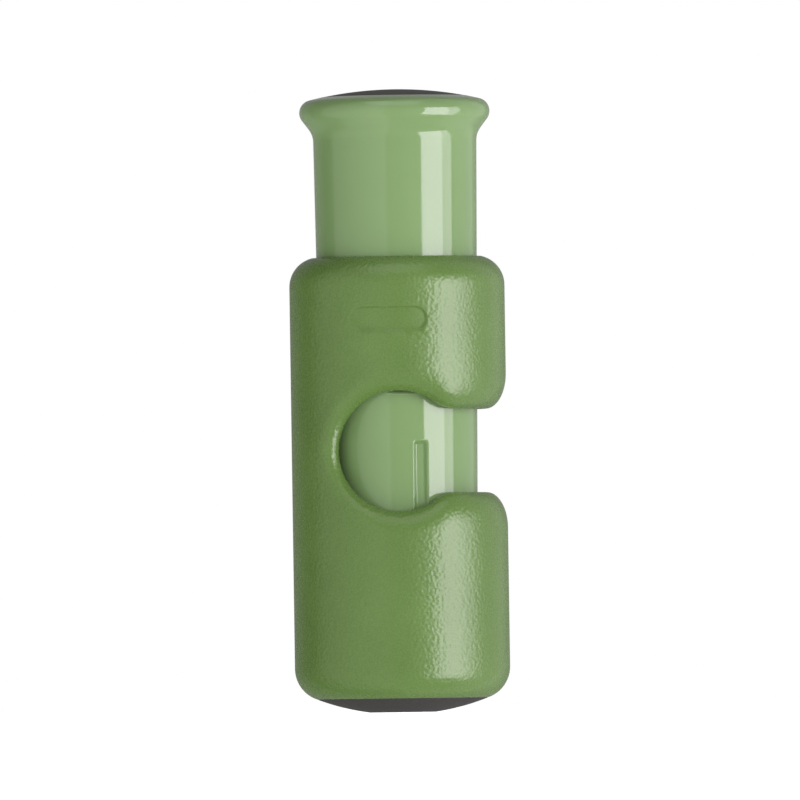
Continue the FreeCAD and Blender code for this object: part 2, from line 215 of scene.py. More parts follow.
# %% Outline of a keyhole
class Keyhole:
    """The upper half of a keyhole's outline about its middle, by length along it.

    The round end's radius is `end`, the lip's `lip` and the mouth's half height `mouth`. The lip's centre
    is `end + lip` from the round end's centre and `mouth + lip` above it."""

    def __init__(self, end, lip, mouth):
        self.end, self.lip, self.mouth = end, lip, mouth
        self.lip_x = math.sqrt((end + lip) ** 2 - (mouth + lip) ** 2)
        self.touch = math.atan2(mouth + lip, self.lip_x)
        self.round_length = end * (math.pi - self.touch)
        self.level_start = self.round_length + lip * (math.pi / 2 - self.touch)

    def length_to(self, x):
        """Length along the outline to a point of the level mouth that is x from the axis."""
        return self.level_start + x - self.lip_x

    def points(self, length):
        """x, z and the direction into the material (nx, nz) at each length."""
        around = math.pi - length / self.end
        if self.lip > 0:
            over = math.pi + self.touch + (length - self.round_length) / self.lip
        else:
            over = np.full_like(length, 1.5 * math.pi)
        on_round = length < self.round_length
        on_lip = ~on_round & (length < self.level_start)
        cases = [on_round, on_lip]
        x = np.select(cases, [self.end * np.cos(around), self.lip_x + self.lip * np.cos(over)],
                      self.lip_x + length - self.level_start)
        z = np.select(cases, [self.end * np.sin(around), self.mouth + self.lip * (1 + np.sin(over))],
                      self.mouth)
        nx = np.select(cases, [np.cos(around), -np.cos(over)], 0.0)
        nz = np.select(cases, [np.sin(around), -np.sin(over)], 1.0)
        return x, z, nx, nz


def smooth_step(value):
    """0 below 0, 1 above 1, and 3v^2 - 2v^3 between."""
    v = np.clip(value, 0, 1)
    return v * v * (3 - 2 * v)


# %% [markdown]
# ## A round wall with a keyhole through it
#
# Cutting the notch with a Boolean would leave long thin faces that a glossy finish shows up. Instead the
# mesh flows round the notch. Its columns start on the notch's rim, fan out over the wall and end on the
# edges of a cylinder that is slit opposite the mouth. The first columns end on that slit, where the
# front half meets the back half, and the others end on the upper edge, where a turned grid carries on.
#
# A cut that goes straight through from front to back keeps its outline only if each point of its wall
# keeps to the outline while the distance from the axis changes, so depth is found from both:
# y = -sqrt(distance^2 - x^2).


# %% Columns and grids round a keyhole
class NotchedWall:
    """Columns that run from the rim of a keyhole out over a round wall, and the grids built on them.

    `outer` gives the wall's radius at a height, `inner` is the radius where the notch's wall ends, and
    `width` and `depth` are the size of the rim's rounding: along the wall and into it. The width may
    change along the outline, as a function of x."""

    def __init__(self, keyhole, middle, outer, inner, width, depth, edge_angles, slit_columns):
        self.key, self.middle, self.outer, self.inner = keyhole, middle, outer, inner
        self.width, self.depth = width, depth
        self.slit_columns = slit_columns
        self.edge_angles = edge_angles
        corner = keyhole.end * math.pi / 4
        radius = outer(middle + keyhole.mouth)
        self.rim_radius = radius
        whole = keyhole.length_to(radius)
        level = radius * np.cos(np.linspace(math.acos(keyhole.lip_x / radius), 0, 1200))
        trial = np.concatenate([np.linspace(corner, keyhole.level_start, 1200)[:-1],
                                keyhole.length_to(level)])
        x, z, nx, nz = keyhole.points(trial)
        at = self._placed(x, z, nx, nz, np.full_like(trial, radius), self.width(x))
        along = np.concatenate([[0], np.cumsum(np.linalg.norm(np.diff(at, axis=0), axis=1))])
        share = (edge_angles - edge_angles[0]) / (0 - edge_angles[0])
        spread = np.interp(share * along[-1], along, trial)
        self.start = np.concatenate([np.linspace(0, corner, slit_columns + 1)[:-1], spread])
        self.start[-1] = whole
        x_start = keyhole.points(self.start)[0]
        bend = 0.69 * radius
        slope = keyhole.length_to(bend * inner / radius) / keyhole.length_to(bend)
        level_end = keyhole.length_to(x_start * inner / radius)
        self.end = np.where(self.start < keyhole.length_to(bend), self.start * slope, level_end)
        self.columns_width = self.width(x_start)

    def _placed(self, x, z, nx, nz, radius, away):
        """Front points at a distance `away` from the outline and `radius` from the axis."""
        x, z = x + nx * away, z + nz * away
        return np.stack([x, -np.sqrt(np.maximum(radius**2 - x**2, 0)), z], axis=-1)

    def row(self, radius, away):
        """One row of front points, `radius` from the axis and `away` from the outline."""
        outer = self.rim_radius
        share = (radius - self.inner) / (outer - self.inner)
        length = self.end + (self.start - self.end) * share
        return self._placed(*self.key.points(length), radius, away)

    def rounding(self, steps):
        """Rows of the rim's rounding, from the wall's skin into the notch. It is a quarter of an ellipse:
        the distance from the outline is width * (1 - sin t), and the radius falls by depth * (1 - cos t)."""
        turn = np.linspace(0, math.pi / 2, steps + 1)
        return np.stack([self.row(self.rim_radius - self.depth * (1 - math.cos(t)),
                                  self.columns_width * (1 - math.sin(t))) for t in turn])

    def skin(self, rim, edge_height, shares, radius_at=None):
        """Rows over the wall, from a rim row out to the slit and the edge. Angle and height go from the
        rim to the edge in proportion to each row's share, and the radius follows the wall."""
        share = shares[:, None]
        rim_angle = np.arctan2(rim[:, 1], rim[:, 0])
        rim_height = rim[:, 2]
        climb = np.linspace(0, edge_height, self.slit_columns + 1)[:-1]
        to_angle = np.concatenate([np.full(self.slit_columns, -math.pi), self.edge_angles])
        to_height = np.concatenate([climb, np.full(len(self.edge_angles), edge_height)])
        angle = (1 - share) * rim_angle + share * to_angle
        height = (1 - share) * rim_height + share * to_height
        radius = (radius_at or self.outer)(self.middle + height)
        return np.stack([radius * np.cos(angle), radius * np.sin(angle), height], axis=-1)


def whole_round(rows):
    """Front rows joined to their mirror image behind, through the mouth's end that they share."""
    back = rows[:, ::-1] * np.array([1.0, -1.0, 1.0])
    return np.concatenate([rows, back[:, 1:]], axis=1)


def upright(rows, middle, side):
    """Rows about the keyhole's middle put in their place: side 1 is the upper half, -1 the lower."""
    return rows * np.array([1.0, 1.0, float(side)]) + np.array([0.0, 0.0, middle])


def round_angles(front):
    """Angles for the whole turn from those of the front half, -pi to 0, mirrored for the back."""
    return np.concatenate([front, -front[::-1][1:]])


# %% [markdown]
# ## The grip sleeve
#
# The sleeve is a thick elastomer moulding stretched over a rigid tube. Its edges are generous: the crown
# and the base roll over in arcs, and the notch's lips are rounded through nearly the whole wall at the
# mouth and less so beside the round end, where the cut meets the wall at a slant. The front carries a
# plain, shallow, stadium-shaped recess, the kind that takes a label. The sleeve also wraps the cut edges
# of the tube inside it, so its section is a closed loop all the way round.


# %% Build the grip sleeve
LIP_WIDTH_MOUTH = 5.0
LIP_WIDTH_END = 3.0
LIP_DEPTH = 2.9
LEVEL_EDGE = 0.12  # the crown and the base end in a level edge this wide
COVER = 1.2 - HAIR  # thickness over the tube's cut edges
INNER_R = LINER_R + HAIR
LABEL_CENTRE = (-1.3, 55.4)  # round the sleeve from the front, and up
LABEL_SIZE = (11.2, 3.6)
LABEL_DEPTH = 0.35
LABEL_EDGE = 0.3


def sleeve_lip_width(x):
    """Width of the lips' rounding, wider towards the mouth."""
    return LIP_WIDTH_END + (LIP_WIDTH_MOUTH - LIP_WIDTH_END) * smooth_step((x + 5.0) / 16.0)


def label_share(x, y, z):
    """1 on the label's floor, 0 outside it. The distance to a stadium's edge is its half height less the
    distance to the straight line through its middle; the share climbs over LABEL_EDGE."""
    across = (np.arctan2(y, x) + math.pi / 2) * SLEEVE_R - LABEL_CENTRE[0]
    half_straight = (LABEL_SIZE[0] - LABEL_SIZE[1]) / 2
    from_core = np.hypot(np.maximum(np.abs(across) - half_straight, 0), z - LABEL_CENTRE[1])
    share = smooth_step((LABEL_SIZE[1] / 2 - from_core) / LABEL_EDGE)
    return np.where(np.hypot(x, y) > SLEEVE_R - 2 * LABEL_DEPTH, share, 0)


def sink_label(grid):
    """Moves points towards the axis by LABEL_DEPTH times the label's share."""
    x, y, z = grid[..., 0], grid[..., 1], grid[..., 2]
    scale = 1 - LABEL_DEPTH * label_share(x, y, z) / np.hypot(x, y)
    return np.stack([x * scale, y * scale, z], axis=-1)


def mark_label(piece):
    """Stores the label's share on the mesh, as an attribute for the material to read."""
    mesh = piece.data
    place = np.empty(len(mesh.vertices) * 3, np.float32)
    mesh.vertices.foreach_get("co", place)
    x, y, z = (place.reshape(-1, 3) / MM).T
    share = label_share(x, y, z).astype(np.float32)
    mesh.attributes.new("label", "FLOAT", "POINT").data.foreach_set("value", share)
    print("label covers", int((share > 0.5).sum()), "points")


def build_sleeve():
    """Skin, lips, covers and inner wall round the notch, then crown and base as turned grids."""
    key = Keyhole(NOTCH_R, NOTCH_LIP, MOUTH_HALF)
    front = np.radians(np.concatenate([np.linspace(-180, -126, 41)[:-1], np.linspace(-126, -64, 119)[:-1],
                                       np.linspace(-64, 0, 55)]))
    shares = np.unique(np.concatenate([np.linspace(0, 1, 27) ** 1.25, np.linspace(0.52, 0.84, 32)]))
    wall = NotchedWall(key, NOTCH_Z, lambda height: np.full_like(height, SLEEVE_R), BORE_R,
                       sleeve_lip_width, LIP_DEPTH, front, 26)
    grids = []
    for side, edge in ((1, CROWN_START - NOTCH_Z), (-1, NOTCH_Z - BASE_START)):
        rounding = wall.rounding(14)
        bore = wall.row(BORE_R, 0.0)[None]
        cover = np.stack([wall.row(BORE_R, COVER), wall.row(INNER_R, COVER)])
        skin = wall.skin(rounding[0], edge, shares)
        inner = wall.skin(cover[-1], edge, np.linspace(0, 1, 8),
                          lambda height: np.full_like(height, INNER_R))
        rows = np.concatenate([skin[::-1], rounding[1:], bore, cover[:1]])
        for part in (rows, cover, inner):
            grids.append(upright(whole_round(part), NOTCH_Z, side))
    angles = round_angles(front)
    crown_centre = (SLEEVE_R - CROWN_ROUND, CROWN_START)
    crown_end = math.degrees(math.acos((BORE_R + LEVEL_EDGE - crown_centre[0]) / CROWN_ROUND))
    crown = np.concatenate([
        [[SLEEVE_R, CROWN_START]],
        arc_profile(crown_centre, CROWN_ROUND, 0, crown_end, 12),
        [[BORE_R, sleeve_high[2] - LEVEL_EDGE]],
        [[BORE_R, liner_high[2] + HAIR]],
        [[INNER_R, liner_high[2] + HAIR]],
        [[INNER_R, CROWN_START]],
    ])
    base_centre = (SLEEVE_R - BASE_ROUND, BASE_START)
    base_end = -math.degrees(math.acos((foot_high[0] + LEVEL_EDGE - base_centre[0]) / BASE_ROUND))
    base = np.concatenate([
        [[SLEEVE_R, BASE_START]],
        arc_profile(base_centre, BASE_ROUND, 0, base_end, 12),
        [[foot_high[0] + HAIR, sleeve_low[2] + LEVEL_EDGE]],
        [[foot_high[0] + HAIR, FOOT_SEAT - HAIR]],
        [[INNER_R, FOOT_SEAT - HAIR]],
        [[INNER_R, BASE_START]],
    ])
    grids += [turned(crown, angles), turned(base, angles)]
    return mesh_from_grids("grip_sleeve_skin", [sink_label(grid) for grid in grids])


sleeve = build_sleeve()
mark_label(sleeve)

# %% [markdown]
# ## The plunger
#
# The push rod is a glossy moulding, so every unevenness would show. Its shaft tapers a little, as it must
# to leave the mould, and flares under a round rim. The bag slot goes through it like a letter U on its
# side, open towards the mouth, and uses the same columns as the sleeve's notch. Its walls run straight
# across to the back instead of stopping at a bore. Two narrow guide grooves are pressed into the lower
# shaft by moving the turned grid inwards, with extra columns and rows at their edges.

# %% Build the plunger
SHAFT_TOP_R, SHAFT_END_R = 11.53, 10.85
SHAFT_BASE = rod_low[2]
RIM_CENTRE, RIM_R, FLARE_R = (11.6, 84.8), 1.84, 3.0
FLANK, BROW = math.radians(37.0), math.radians(12.75)
FLANK_TOP = (RIM_CENTRE[0] + RIM_R * math.cos(FLANK), RIM_CENTRE[1] - RIM_R * math.sin(FLANK))
FLARE_X = SHAFT_TOP_R + FLARE_R  # radius and height of the flare's centre
FLARE_Z = FLANK_TOP[1] - (FLANK_TOP[0] - FLARE_X + FLARE_R * math.cos(FLANK)) / math.tan(FLANK)
NECK_Z = FLARE_Z - FLARE_R * math.sin(FLANK)
PAD_R, PAD_EDGE, BROW_ROUND = pad_high[0], 87.05, 0.15
CAP_SEAT = 83.6  # ledge that the cap rests on
HOLLOW_R, HOLLOW_BASE = 9.3, 62.3
CHAMBER_R, CHAMBER_TOP, CHAMBER_CHAMFER = 8.2, 43.0, 1.0  # for the spring
END_CHAMFER = 0.6
SLOT_BASE, SLOT_HALF, SLOT_ROUND = 45.5, 7.25, 0.8
SLOT_MIDDLE = SLOT_BASE + SLOT_HALF
SKIRT_TOP, NECK_BASE = 44.1, 61.4
GROOVE_TURNS = (-74.0, 106.0)
GROOVE_HALF, GROOVE_FLOOR = 0.8, 10.35
GROOVE_BASE, GROOVE_TOP = 21.7, 37.6
EDGE = 0.6  # width over which a groove's side falls
RUN_OUT = 0.8  # height over which its floor runs out at either end


def shaft_radius(height):
    """Radius of the tapered shaft, in proportion to the height between its two ends."""
    share = (height - SHAFT_BASE) / (NECK_Z - SHAFT_BASE)
    return SHAFT_END_R + (SHAFT_TOP_R - SHAFT_END_R) * share


def plunger_front_angles():
    """Even columns for the front half, with close ones at the grooves' sides and their mirror images."""
    even = np.linspace(-180, 0, 145)
    half = math.degrees(GROOVE_HALF / shaft_radius(30.0))
    step = math.degrees(EDGE / shaft_radius(30.0))
    turns = [-abs(turn) for turn in GROOVE_TURNS]
    clear = np.all([np.abs(even - turn) > half + 1.4 * step for turn in turns], axis=0)
    sides = [turn + sign * half + shift for turn in turns for sign in (-1, 1)
             for shift in np.linspace(-step, step, 13)]
    inside = [turn + part * half for turn in turns for part in (-0.5, 0.0, 0.5)]
    return np.radians(np.sort(np.concatenate([even[clear], sides, inside])))


def sink_grooves(grid):
    """Moves the shaft's points in to the grooves' floor wherever they lie inside a groove. The side falls
    along a smooth step that is EDGE wide, and the ends run out beyond the groove's length."""
    angle = np.degrees(np.arctan2(grid[..., 1], grid[..., 0]))
    distance = np.hypot(grid[..., 0], grid[..., 1])
    inside = np.zeros_like(distance)
    for turn in GROOVE_TURNS:
        apart = (angle - turn + 180) % 360 - 180
        across = np.abs(np.radians(apart)) * shaft_radius(30.0)
        from_side = GROOVE_HALF - across
        past_end = np.maximum(GROOVE_BASE - grid[..., 2], grid[..., 2] - GROOVE_TOP)
        share = smooth_step(from_side / EDGE + 0.5) * smooth_step(1 - past_end / RUN_OUT)
        inside = np.maximum(inside, share)
    sunk = distance + (GROOVE_FLOOR - distance) * inside
    scale = sunk / np.maximum(distance, 1e-9)
    return grid * np.stack([scale, scale, np.ones_like(scale)], axis=-1)


def flange_profile():
    """Profile of the flare, the straight flank, the round rim and the brow, each touching the next."""
    flare = arc_profile((FLARE_X, NECK_Z), FLARE_R, 180, 180 - math.degrees(FLANK), 14)
    rim = arc_profile(RIM_CENTRE, RIM_R, -math.degrees(FLANK), 90 - math.degrees(BROW), 26)
    brow = rounded([rim[-1], (PAD_R + HAIR, PAD_EDGE, BROW_ROUND), (PAD_R + HAIR, CAP_SEAT)], steps=5)
    return np.concatenate([flare, rim, brow[1:]])


def build_plunger():
    """Skin and tunnel round the slot, then the flanged top and the grooved skirt as turned grids."""
    key = Keyhole(SLOT_HALF, 0.0, SLOT_HALF)
    front = plunger_front_angles()
    rim = shaft_radius(SLOT_MIDDLE)
    wall = NotchedWall(key, SLOT_MIDDLE, lambda height: np.full_like(height, rim), rim - SLOT_ROUND,
                       lambda x: np.full_like(x, SLOT_ROUND), SLOT_ROUND, front, 20)
    shares = np.linspace(0, 1, 25) ** 1.25
    grids = []
    for side, edge in ((1, NECK_BASE - SLOT_MIDDLE), (-1, SLOT_MIDDLE - SKIRT_TOP)):
        rounding = wall.rounding(8)
        skin = wall.skin(rounding[0], edge, shares,
                         lambda height, s=side: shaft_radius(SLOT_MIDDLE + s * (height - SLOT_MIDDLE)))
        rounding[0] = skin[0]
        share = np.linspace(0, 1, 9)[:, None, None]
        across = rounding[-1] * (1 - share) + rounding[-1] * np.array([1.0, -1.0, 1.0]) * share
        grids.append(upright(whole_round(np.concatenate([skin[::-1], rounding[1:]])), SLOT_MIDDLE, side))
        grids.append(upright(across, SLOT_MIDDLE, side))
    angles = round_angles(front)
    top_shaft = np.stack([shaft_radius(np.linspace(NECK_BASE, NECK_Z, 24)),
                          np.linspace(NECK_BASE, NECK_Z, 24)], axis=1)
    top = np.concatenate([top_shaft[:-1], flange_profile(),
                          [[HOLLOW_R, CAP_SEAT], [HOLLOW_R, HOLLOW_BASE], [0.0, HOLLOW_BASE]]])
    levels = np.concatenate([np.linspace(SKIRT_TOP, SHAFT_BASE + END_CHAMFER, 60)] + [
        np.linspace(low, low + RUN_OUT, 9) for low in (GROOVE_TOP, GROOVE_BASE - RUN_OUT)])
    levels = np.sort(levels)[::-1]
    skirt = np.concatenate([
        np.stack([shaft_radius(levels), levels], axis=1),
        [[SHAFT_END_R - END_CHAMFER, SHAFT_BASE], [CHAMBER_R + END_CHAMFER, SHAFT_BASE],
         [CHAMBER_R, SHAFT_BASE + END_CHAMFER], [CHAMBER_R, CHAMBER_TOP - CHAMBER_CHAMFER],
         [CHAMBER_R - CHAMBER_CHAMFER, CHAMBER_TOP], [0.0, CHAMBER_TOP]],
    ])
    grids += [turned(top, angles), sink_grooves(turned(skirt, angles))]
    return mesh_from_grids("plunger_body", grids)


plunger = build_plunger()

# %% [markdown]
# ## Pads
#
# Both pads are shallow elastomer domes. They are parts of spheres whose edge is let into the harder
# plastic, with a tiny rounding where the two meet, so that the join shows as a fine line.


# %% Build the pads
def dome(edge_radius, edge_height, flat_radius, apex, steps=26):
    """Profile of a dome from its edge to its middle: a circle's arc about the axis, level inside
    flat_radius. The sphere's radius follows from the rise and the edge's radius."""
    rise = abs(apex - edge_height)
    sphere = (edge_radius**2 - flat_radius**2 + rise**2) / (2 * rise)
    sphere = math.hypot(flat_radius, sphere)
    radius = np.linspace(edge_radius, flat_radius, steps)
    fall = np.sqrt(sphere**2 - flat_radius**2) - np.sqrt(sphere**2 - radius**2)
    height = apex - np.sign(apex - edge_height) * fall
    return np.concatenate([np.stack([radius, height], axis=1), [[0.0, apex]]])


STUD_R, STUD_ROUND = 2.2, 0.4
EDGE_ROUND, EDGE_WALL = 0.12, 0.3  # the rounding at a pad's edge, and how far the edge's wall is kept


def build_pad(name, edge_radius, edge_height, flat_radius, apex, base, stud_end):
    """A pad with its stud: dome, side wall, inner face and stud, turned into one closed shell."""
    wall_end = edge_height - math.copysign(EDGE_WALL, apex - edge_height)
    top = dome(edge_radius, edge_height, flat_radius, apex)
    rest = rounded([top[0], (edge_radius, wall_end), (edge_radius, base), (STUD_R, base),
                    (STUD_R, stud_end, STUD_ROUND), (0.0, stud_end)], steps=4)
    corner = rounded([top[2], (edge_radius, edge_height, EDGE_ROUND), (edge_radius, wall_end)], steps=5)
    profile = np.concatenate([top[:1:-1], corner[1:], rest[2:]])
    return mesh_from_grids(name, [turned(profile, FULL_TURN)])


FOOT_EDGE = 1.9
thumb_pad = build_pad("thumb_pad_dome", PAD_R - HAIR, PAD_EDGE - HAIR, 0.0, pad_high[2],
                      cap_high[2] + HAIR, pad_low[2])
foot_pad = build_pad("foot_pad_dome", foot_high[0] - HAIR, FOOT_EDGE, FOOT_FLAT_R, 0.0,
                     FOOT_SEAT - HAIR, foot_high[2])

# %% [markdown]
# ## The spring
#
# A compression spring of this kind is wound with its last turn closed at each end, and ground flat. The
# wire's middle follows a helix whose rise per turn changes: almost none in the end turns, even between.
# The height is a smooth function of the turn, and a ring of points is placed at every step of it.


# %% Build the spring
WIRE_R = 0.55
COIL_R = spring_high[0] - WIRE_R
TURNS = 10.5
CLOSED = 1.1  # closed turns at each end
CLOSED_PITCH = 2 * WIRE_R * 1.02  # wire on wire, with a little air


def build_spring():
    """A tube along a helix. Height grows with the wire's thickness per turn in the closed ends and evenly
    between, blended over half a turn; the ends are cut level, as ground."""
    turn = np.linspace(0, TURNS, 1 + int(TURNS * 56))
    low, high = spring_low[2], spring_high[2] - HAIR
    from_start = smooth_step((turn - CLOSED + 0.25) / 0.5)
    from_end = smooth_step((TURNS - CLOSED + 0.25 - turn) / 0.5)
    open_share = from_start * from_end
    step = turn[1] - turn[0]
    steady = np.concatenate([[0], np.cumsum(np.full(len(turn) - 1, CLOSED_PITCH) * step)])
    opened = np.concatenate([[0], np.cumsum((open_share[1:] + open_share[:-1]) / 2 * step)])
    lift = (high - low - steady[-1]) / opened[-1]
    centre = low + steady + lift * opened
    section = np.linspace(0, 2 * math.pi, 15)
    angle = (turn * 2 * math.pi)[:, None]
    radius = COIL_R + WIRE_R * np.cos(section)[None]
    height = np.clip(centre[:, None] + WIRE_R * np.sin(section)[None], low, high)
    tube = np.stack([radius * np.cos(angle), radius * np.sin(angle), height], axis=-1)
    caps = [np.stack([tube[end], np.broadcast_to(tube[end].mean(axis=0), tube[end].shape)])
            for end in (0, -1)]
    return mesh_from_grids("spring_coil", [tube, *caps], crease_degrees=60)


spring = build_spring()

# %% [markdown]
# ## Finishes
#
# Colours are written as they would be picked on a screen and turned to linear light by one function. One
# small function adds a node with its settings and links. Every pattern reads Object coordinates, which
# are in metres, so a scale of 1 / (size in metres) gives cells of that real size.


# %% Helpers for materials
def linear(hex_colour):
    """sRGB hex to linear RGBA: below 0.04045 the value / 12.92, above it ((value + 0.055) / 1.055)^2.4."""
    parts = np.array([int(hex_colour[i:i + 2], 16) / 255 for i in (1, 3, 5)])
    light = np.where(parts <= 0.04045, parts / 12.92, ((parts + 0.055) / 1.055) ** 2.4)
    return (*light.tolist(), 1.0)


def new_material(name):
    """An empty node material with its output and a Principled shader joined."""
    material = bpy.data.materials.new(name)
    material.use_nodes = True
    tree = material.node_tree
    tree.nodes.clear()
    shader = add(tree, "ShaderNodeBsdfPrincipled")
    add(tree, "ShaderNodeOutputMaterial", links={"Surface": shader.outputs["BSDF"]})
    return material, tree, shader


def add(tree, kind, settings=None, links=None, **values):
    """Adds a node: `settings` are its own options, `values` its sockets' numbers and `links` what feeds
    its sockets."""
    node = tree.nodes.new(kind)
    for option, value in (settings or {}).items():
        setattr(node, option, value)
    for socket, value in values.items():
        node.inputs[socket.replace("_", " ")].default_value = value
    for socket, output in (links or {}).items():
        tree.links.new(output, node.inputs[socket])
    return node


def set_sockets(shader, **values):
    """Sets a node's sockets to plain numbers or colours."""
    for socket, value in values.items():
        shader.inputs[socket.replace("_", " ")].default_value = value


def object_place(tree):
    """Each point's own place on the piece, in metres."""
    return add(tree, "ShaderNodeTexCoord").outputs["Object"]


def ramp(tree, factor, stops):
    """A colour ramp through (position, hex colour) stops."""
    node = add(tree, "ShaderNodeValToRGB", links={"Fac": factor})
    band = node.color_ramp
    while len(band.elements) < len(stops):
        band.elements.new(0.5)
    for element, (position, colour) in zip(band.elements, stops):
        element.position, element.color = position, linear(colour)
    return node


# %% [markdown]
# ### Soft-touch elastomer, spark-eroded
#
# The sleeve is a thermoplastic elastomer moulded against a spark-eroded steel. That gives the eye a broad,
# broken highlight made of small grains, about half a millimetre across, over a colour that is nearly even.


# %% Sleeve material
def soft_touch_elastomer():
    """The grain's bump fades to almost none on the label, which is smooth."""
    material, tree, shader = new_material("Spark-eroded TPE, fern green")
    place = object_place(tree)
    cloud = add(tree, "ShaderNodeTexNoise", links={"Vector": place}, Scale=1 / (9 * MM), Detail=3.0)
    colour = ramp(tree, cloud.outputs["Fac"], [(0.3, "#587437"), (0.7, "#5E7A3C")])
    grain = add(tree, "ShaderNodeTexNoise", links={"Vector": place}, Scale=1 / (0.46 * MM), Detail=0.0)
    fine = add(tree, "ShaderNodeTexNoise", links={"Vector": place}, Scale=1 / (0.28 * MM), Detail=2.0)
    label = add(tree, "ShaderNodeAttribute", {"attribute_name": "label"})
    grain_depth = add(tree, "ShaderNodeMapRange", links={"Value": label.outputs["Fac"]},
                      To_Min=0.56, To_Max=0.06)
    coarse = add(tree, "ShaderNodeBump", links={"Height": grain.outputs["Fac"],
                 "Strength": grain_depth.outputs["Result"]}, Distance=0.11 * MM)
    bump = add(tree, "ShaderNodeBump", links={"Height": fine.outputs["Fac"],
               "Normal": coarse.outputs["Normal"]}, Strength=0.15, Distance=0.015 * MM)
    rough = add(tree, "ShaderNodeMapRange", links={"Value": fine.outputs["Fac"]},
                From_Min=0.3, From_Max=0.7, To_Min=0.25, To_Max=0.3)
    tree.links.new(colour.outputs["Color"], shader.inputs["Base Color"])
    tree.links.new(rough.outputs["Result"], shader.inputs["Roughness"])
    tree.links.new(bump.outputs["Normal"], shader.inputs["Normal"])
    set_sockets(shader, IOR=1.48)
    return material


# %% [markdown]
# ### Polished ABS
#
# The plunger is moulded in a polished cavity. It mirrors the lights with sharp edges, and only a slow
# unevenness of the wall, some millimetres long, keeps the reflections from looking drawn with a ruler.


# %% Plunger material
def polished_abs():
    """Near-even colour, a slow bump some millimetres long and a low roughness."""
    material, tree, shader = new_material("Polished ABS, pale leaf green")
    place = object_place(tree)
    cloud = add(tree, "ShaderNodeTexNoise", links={"Vector": place}, Scale=1 / (14 * MM), Detail=2.0)
    colour = ramp(tree, cloud.outputs["Fac"], [(0.3, "#75905E"), (0.7, "#799462")])
    sink = add(tree, "ShaderNodeTexNoise", links={"Vector": place}, Scale=1 / (7 * MM), Detail=1.0)
    bump = add(tree, "ShaderNodeBump", links={"Height": sink.outputs["Fac"]},
               Strength=0.25, Distance=0.02 * MM)
    rough = add(tree, "ShaderNodeMapRange", links={"Value": cloud.outputs["Fac"]},
                From_Min=0.3, From_Max=0.7, To_Min=0.07, To_Max=0.11)
    tree.links.new(colour.outputs["Color"], shader.inputs["Base Color"])
    tree.links.new(rough.outputs["Result"], shader.inputs["Roughness"])
    tree.links.new(bump.outputs["Normal"], shader.inputs["Normal"])
    set_sockets(shader, IOR=1.53)
    return material


# %% [markdown]
# ### Matt elastomer, satin plastic and spring steel
#
# The pads are a harder elastomer with a fine matt grain. The tube, plug and cap are plain moulded
# plastic with a satin face. The spring and the pins are bright drawn steel, whose drawing marks are far
# finer than this picture can show, so a gentle change of roughness stands for them.


# %% Materials of the pads and the inner pieces
def grained(name, dark, light, grain_mm, bump_mm, roughness, sockets):
    """A near-even colour with a fine grain: `roughness` is its lowest and highest value."""
    material, tree, shader = new_material(name)
    place = object_place(tree)
    grain = add(tree, "ShaderNodeTexNoise", links={"Vector": place}, Scale=1 / (grain_mm * MM), Detail=3.0)
    colour = ramp(tree, grain.outputs["Fac"], [(0.3, dark), (0.7, light)])
    bump = add(tree, "ShaderNodeBump", links={"Height": grain.outputs["Fac"]},
               Strength=0.5, Distance=bump_mm * MM)
    rough = add(tree, "ShaderNodeMapRange", links={"Value": grain.outputs["Fac"]},
                From_Min=0.3, From_Max=0.7, To_Min=roughness[0], To_Max=roughness[1])
    tree.links.new(colour.outputs["Color"], shader.inputs["Base Color"])
    tree.links.new(rough.outputs["Result"], shader.inputs["Roughness"])
    tree.links.new(bump.outputs["Normal"], shader.inputs["Normal"])
    set_sockets(shader, **sockets)
    return material


ELASTOMER = soft_touch_elastomer()
ABS = polished_abs()
PAD = grained("Matt TPE, warm charcoal", "#2E2B29", "#3C3936", 0.5, 0.03, (0.45, 0.6), {"IOR": 1.48})
SATIN = grained("Satin polypropylene, pale green", "#8AA774", "#91AE7B", 0.8, 0.01, (0.32, 0.42),
                {"IOR": 1.49})
STEEL = grained("Drawn spring steel", "#A9ABAD", "#BDBFC1", 0.3, 0.004, (0.18, 0.28), {"Metallic": 1.0})

# %% [markdown]
# ## Dressing the frame
#
# New pieces ride on the body that they belong to and stand for the plain node that they replace. Nodes
# whose shape is already right only get their finish.


# %% Materials, bodies and replaced nodes
def dress(piece, body, node, material):
    """Gives a new piece its finish, its body and the node it stands for."""
    piece.data.materials.clear()
    piece.data.materials.append(material)
    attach(piece, body)
    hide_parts(node)


dress(sleeve, "sleeve", "grip_sleeve", ELASTOMER)
dress(plunger, "plunger", "plunger", ABS)
dress(thumb_pad, "plunger", "thumb_pad", PAD)
dress(foot_pad, "sleeve", "foot_pad", PAD)
dress(spring, "sleeve", "spring", STEEL)

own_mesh(spring)

KEPT = (("liner_tube", SATIN), ("end_plug", SATIN), ("thumb_cap", SATIN), ("stop_pins", STEEL))
for node, material in KEPT:
    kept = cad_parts[node]
    kept.data.materials.clear()
    kept.data.materials.append(material)

# %% [markdown]
# ## Floor, light and camera
#
# A plain pale floor fades into a white room. Two tall strip lights side by side on the right give the
# rod its sharp-edged reflection, a little dimmer towards the side. Only mirror-like reflections see them,
# and the floor doesn't stand in their way. A soft key light does the shading and shows in no reflection.
# The room itself is brighter and darker by turns, which draws the softer bands. The camera stands almost
# level with the floor, far away with a long lens, and leans a little.


# %% Floor
FLOOR_GLOW = 0.78  # lifts the floor to white, and lights the cinch a little from below


